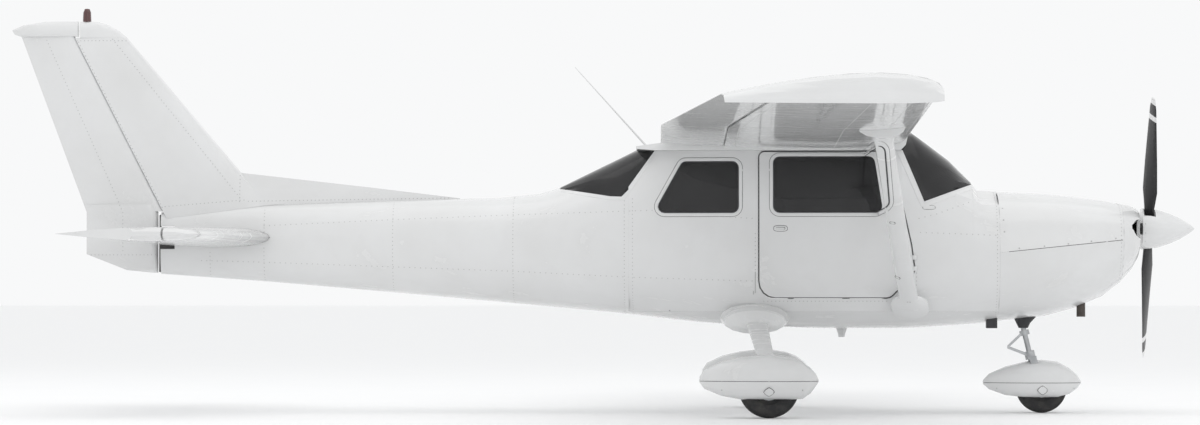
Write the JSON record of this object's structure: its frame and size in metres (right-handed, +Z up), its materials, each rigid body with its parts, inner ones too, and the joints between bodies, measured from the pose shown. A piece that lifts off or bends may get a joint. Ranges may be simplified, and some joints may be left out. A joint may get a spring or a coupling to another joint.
{
  "type": "light aircraft",
  "caption": "Light aircraft with a high strut-braced wing, swept fin, nose propeller, side doors and fixed tricycle gear in wheel fairings.",
  "frame": {"origin": "on the ground below the middle of the aircraft's box, wheels standing on z = 0", "axes": "+X forward to the nose, +Y to port along the span, +Z up"},
  "size_m": [8.2, 10.92, 2.8066],
  "materials": {
    "white_paint": "gloss",
    "leg_paint": "gloss",
    "grey_metal": "satin",
    "engine_metal": "satin",
    "exhaust_metal": "satin",
    "tinted_glass": "polished",
    "black_paint": "satin",
    "tyre_rubber": "matte",
    "seat_leather": "satin",
    "dark_trim": "matte",
    "beacon_lens": "gloss"
  },
  "bodies": {
    "airframe": {"baggage_bulkhead": "dark_trim", "beacon": "beacon_lens", "belly_floor": "white_paint", "belly_mast": "white_paint", "belly_vent": "dark_trim", "cabin_roof": "white_paint", "cabin_side_left": "white_paint", "cabin_side_right": "white_paint", "cowl_lower": "white_paint", "cowl_upper": "white_paint", "engine_block": "engine_metal", "exhaust": "exhaust_metal", "fin": "white_paint", "fin_cap": "white_paint", "firewall": "grey_metal", "front_seat_frames": "grey_metal", "front_seat_left": "seat_leather", "front_seat_right": "seat_leather", "instrument_panel": "dark_trim", "main_fairing_left": "white_paint", "main_fairing_right": "white_paint", "main_leg_left": "leg_paint", "main_leg_right": "leg_paint", "nose_bowl": "white_paint", "nose_leg_housing": "dark_trim", "quarter_window_left": "tinted_glass", "quarter_window_right": "tinted_glass", "rear_bench": "seat_leather", "rear_window": "tinted_glass", "strut_left": "white_paint", "strut_right": "white_paint", "tail_cone": "white_paint", "tailplane": "white_paint", "whip_antenna": "white_paint", "windscreen": "tinted_glass", "wing_left": "white_paint", "wing_right": "white_paint"},
    "propeller": {"propeller": "black_paint", "spinner": "white_paint"},
    "nose_gear": {"nose_strut": "grey_metal", "nose_fairing": "white_paint"},
    "nose_wheel": {"nose_tyre": "tyre_rubber", "nose_rim": "grey_metal"},
    "main_wheel_left": {"main_left_tyre": "tyre_rubber", "main_left_rim": "grey_metal"},
    "main_wheel_right": {"main_right_tyre": "tyre_rubber", "main_right_rim": "grey_metal"},
    "rudder": {"rudder": "white_paint"},
    "elevator": {"elevator": "white_paint"},
    "elevator_tab": {"elevator_tab": "white_paint"},
    "aileron_left": {"aileron_left": "white_paint"},
    "aileron_right": {"aileron_right": "white_paint"},
    "flap_left": {"flap_left": "white_paint"},
    "flap_right": {"flap_right": "white_paint"},
    "door_left": {"door_left": "white_paint", "door_window_left": "tinted_glass"},
    "door_right": {"door_right": "white_paint", "door_window_right": "tinted_glass"},
    "baggage_door": {"baggage_door": "white_paint"}
  },
  "joints": [
    {"name": "propeller_spin", "type": "hinge", "parent": "airframe", "child": "propeller", "pos_m": [3.784, 0, 1.268], "axis": [1, 0, 0], "continuous": true},
    {"name": "nose_steering", "type": "hinge", "parent": "airframe", "child": "nose_gear", "pos_m": [2.968, 0, 0.395], "axis": [-0.2377, 0, 0.9713], "range_deg": [-30, 30]},
    {"name": "nose_wheel_spin", "type": "hinge", "parent": "nose_gear", "child": "nose_wheel", "pos_m": [3.044, 0, 0.175], "axis": [0, 1, 0], "continuous": true},
    {"name": "main_wheel_left_spin", "type": "hinge", "parent": "airframe", "child": "main_wheel_left", "pos_m": [1.156, 1.27, 0.2], "axis": [0, 1, 0], "continuous": true},
    {"name": "main_wheel_right_spin", "type": "hinge", "parent": "airframe", "child": "main_wheel_right", "pos_m": [1.156, -1.27, 0.2], "axis": [0, 1, 0], "continuous": true},
    {"name": "rudder_hinge", "type": "hinge", "parent": "airframe", "child": "rudder", "pos_m": [-3.061, 0, 1.386], "axis": [-0.4543, 0, 0.8909], "range_deg": [-17, 17]},
    {"name": "elevator_hinge", "type": "hinge", "parent": "airframe", "child": "elevator", "pos_m": [-3.03, 0, 1.21], "axis": [0, 1, 0], "range_deg": [-23, 28]},
    {"name": "elevator_tab_hinge", "type": "hinge", "parent": "elevator", "child": "elevator_tab", "pos_m": [-3.39911, -0.64, 1.21], "axis": [0, 1, 0], "range_deg": [-19, 22]},
    {"name": "aileron_left_hinge", "type": "hinge", "parent": "airframe", "child": "aileron_left", "pos_m": [0.86204, 2.564, 1.90859], "axis": [0.104, 0.9944, 0.0162], "range_deg": [-15, 20]},
    {"name": "aileron_right_hinge", "type": "hinge", "parent": "airframe", "child": "aileron_right", "pos_m": [0.86204, -2.564, 1.90859], "axis": [-0.104, 0.9944, -0.0162], "range_deg": [-15, 20]},
    {"name": "flap_left_hinge", "type": "hinge", "parent": "airframe", "child": "flap_left", "pos_m": [0.7722, 0.544, 1.74324], "axis": [-0.0144, -0.9997, -0.0175], "range_deg": [0, 30]},
    {"name": "flap_right_hinge", "type": "hinge", "parent": "airframe", "child": "flap_right", "pos_m": [0.7722, -0.544, 1.74324], "axis": [0.0144, -0.9997, 0.0175], "range_deg": [0, 30]},
    {"name": "door_left_hinge", "type": "hinge", "parent": "airframe", "child": "door_left", "pos_m": [2.146, 0.541, 0.795], "axis": [0, 0, -1], "range_deg": [0, 60]},
    {"name": "door_right_hinge", "type": "hinge", "parent": "airframe", "child": "door_right", "pos_m": [2.146, -0.541, 0.795], "axis": [0, 0, 1], "range_deg": [0, 60]},
    {"name": "baggage_door_hinge", "type": "hinge", "parent": "airframe", "child": "baggage_door", "pos_m": [0.803, 0.506, 0.86], "axis": [0, 0, -1], "range_deg": [0, 80]}
  ],
  "couplings": [
    {"joint": "flap_right_hinge", "follows": "flap_left_hinge", "ratio": 1}
  ]
}
